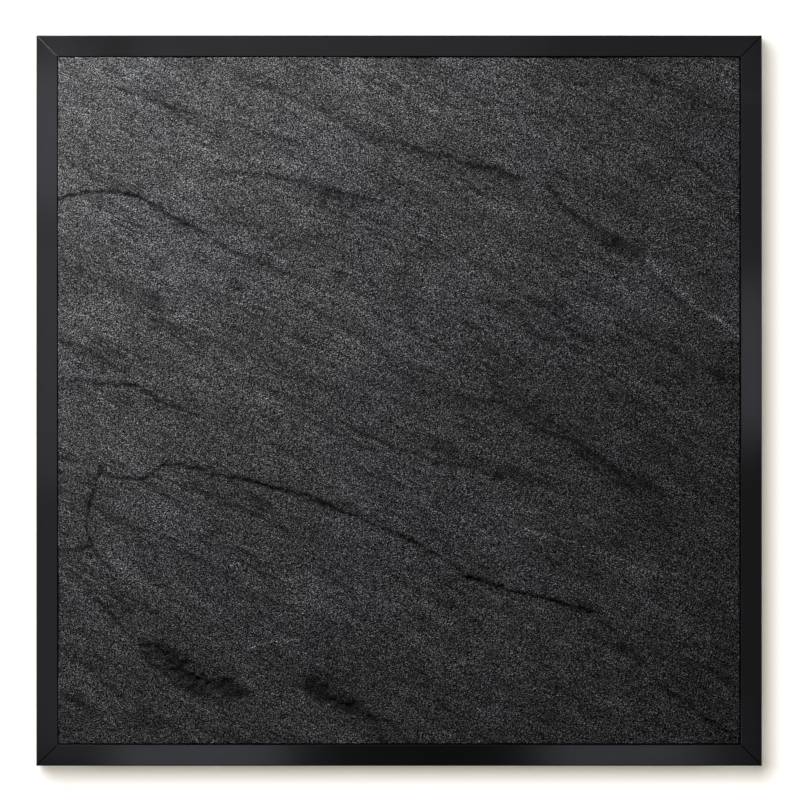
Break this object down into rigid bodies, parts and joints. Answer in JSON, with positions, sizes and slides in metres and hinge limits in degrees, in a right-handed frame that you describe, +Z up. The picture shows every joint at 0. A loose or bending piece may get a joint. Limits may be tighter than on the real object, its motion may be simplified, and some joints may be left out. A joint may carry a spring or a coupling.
{
  "type": "framed stone slab",
  "caption": "Riven dark stone slab set in a mitred black frame, with backing board, turn-buttons, bumpers and D-ring hangers for a wall.",
  "frame": {"origin": "on the wall plane that the bumpers touch, behind the centre of the panel", "axes": "+X to the right seen from the front, +Y into the wall, so the stone face looks along -Y, +Z up"},
  "size_m": [0.6, 0.028, 0.604],
  "materials": {
    "stone": "riven, matt with fine glints",
    "black_lacquer": "sprayed satin black lacquer",
    "foam": "closed-cell foam",
    "rubber": "matt",
    "hardboard": "smooth hardboard",
    "zinc_plated_steel": "zinc plated"
  },
  "bodies": {
    "panel": {"backing_board": "hardboard", "bedding_tape_bottom": "foam", "bedding_tape_left": "foam", "bedding_tape_right": "foam", "bedding_tape_top": "foam", "bumper_bottom_a": "rubber", "bumper_bottom_b": "rubber", "bumper_top_a": "rubber", "bumper_top_b": "rubber", "button_screw_bottom_a": "zinc_plated_steel", "button_screw_bottom_b": "zinc_plated_steel", "button_screw_left_a": "zinc_plated_steel", "button_screw_left_b": "zinc_plated_steel", "button_screw_right_a": "zinc_plated_steel", "button_screw_right_b": "zinc_plated_steel", "button_screw_top_a": "zinc_plated_steel", "button_screw_top_b": "zinc_plated_steel", "corner_plate_bottom_left": "zinc_plated_steel", "corner_plate_bottom_right": "zinc_plated_steel", "corner_plate_top_left": "zinc_plated_steel", "corner_plate_top_right": "zinc_plated_steel", "cushion_sheet": "foam", "hanger_strap_left": "zinc_plated_steel", "hanger_strap_right": "zinc_plated_steel", "plate_screw_bottom_left_bottom": "zinc_plated_steel", "plate_screw_bottom_left_left": "zinc_plated_steel", "plate_screw_bottom_right_bottom": "zinc_plated_steel", "plate_screw_bottom_right_right": "zinc_plated_steel", "plate_screw_top_left_left": "zinc_plated_steel", "plate_screw_top_left_top": "zinc_plated_steel", "plate_screw_top_right_right": "zinc_plated_steel", "plate_screw_top_right_top": "zinc_plated_steel", "rail_bottom": "black_lacquer", "rail_left": "black_lacquer", "rail_right": "black_lacquer", "rail_top": "black_lacquer", "setting_block_bottom_a": "rubber", "setting_block_bottom_b": "rubber", "setting_block_left_a": "rubber", "setting_block_left_b": "rubber", "setting_block_right_a": "rubber", "setting_block_right_b": "rubber", "slab": "stone", "strap_screw_left_lower": "zinc_plated_steel", "strap_screw_left_upper": "zinc_plated_steel", "strap_screw_right_lower": "zinc_plated_steel", "strap_screw_right_upper": "zinc_plated_steel"},
    "hanger_ring_left": {"hanger_ring_left": "zinc_plated_steel"},
    "hanger_ring_right": {"hanger_ring_right": "zinc_plated_steel"},
    "turn_button_bottom_a": {"turn_button_bottom_a": "zinc_plated_steel"},
    "turn_button_bottom_b": {"turn_button_bottom_b": "zinc_plated_steel"},
    "turn_button_left_a": {"turn_button_left_a": "zinc_plated_steel"},
    "turn_button_left_b": {"turn_button_left_b": "zinc_plated_steel"},
    "turn_button_right_a": {"turn_button_right_a": "zinc_plated_steel"},
    "turn_button_right_b": {"turn_button_right_b": "zinc_plated_steel"},
    "turn_button_top_a": {"turn_button_top_a": "zinc_plated_steel"},
    "turn_button_top_b": {"turn_button_top_b": "zinc_plated_steel"}
  },
  "joints": [
    {"name": "turn_button_bottom_a_pivot", "type": "hinge", "parent": "panel", "child": "turn_button_bottom_a", "pos_m": [-0.15, -0.0051, -0.29675], "axis": [0, 1, 0], "range_deg": [-90, 90]},
    {"name": "turn_button_bottom_b_pivot", "type": "hinge", "parent": "panel", "child": "turn_button_bottom_b", "pos_m": [0.15, -0.0051, -0.29675], "axis": [0, 1, 0], "range_deg": [-90, 90]},
    {"name": "turn_button_top_a_pivot", "type": "hinge", "parent": "panel", "child": "turn_button_top_a", "pos_m": [0.15, -0.0051, 0.29675], "axis": [0, 1, 0], "range_deg": [-90, 90]},
    {"name": "turn_button_top_b_pivot", "type": "hinge", "parent": "panel", "child": "turn_button_top_b", "pos_m": [-0.15, -0.0051, 0.29675], "axis": [0, 1, 0], "range_deg": [-90, 90]},
    {"name": "turn_button_left_a_pivot", "type": "hinge", "parent": "panel", "child": "turn_button_left_a", "pos_m": [-0.29475, -0.0051, 0.15], "axis": [0, 1, 0], "range_deg": [-90, 90]},
    {"name": "turn_button_left_b_pivot", "type": "hinge", "parent": "panel", "child": "turn_button_left_b", "pos_m": [-0.29475, -0.0051, -0.15], "axis": [0, 1, 0], "range_deg": [-90, 90]},
    {"name": "turn_button_right_a_pivot", "type": "hinge", "parent": "panel", "child": "turn_button_right_a", "pos_m": [0.29475, -0.0051, -0.15], "axis": [0, 1, 0], "range_deg": [-90, 90]},
    {"name": "turn_button_right_b_pivot", "type": "hinge", "parent": "panel", "child": "turn_button_right_b", "pos_m": [0.29475, -0.0051, 0.15], "axis": [0, 1, 0], "range_deg": [-90, 90]},
    {"name": "hanger_ring_left_swing", "type": "hinge", "parent": "panel", "child": "hanger_ring_left", "pos_m": [-0.293, -0.00335, 0.102], "axis": [1, 0, 0], "range_deg": [0, 180]},
    {"name": "hanger_ring_right_swing", "type": "hinge", "parent": "panel", "child": "hanger_ring_right", "pos_m": [0.293, -0.00335, 0.102], "axis": [1, 0, 0], "range_deg": [0, 180]}
  ]
}
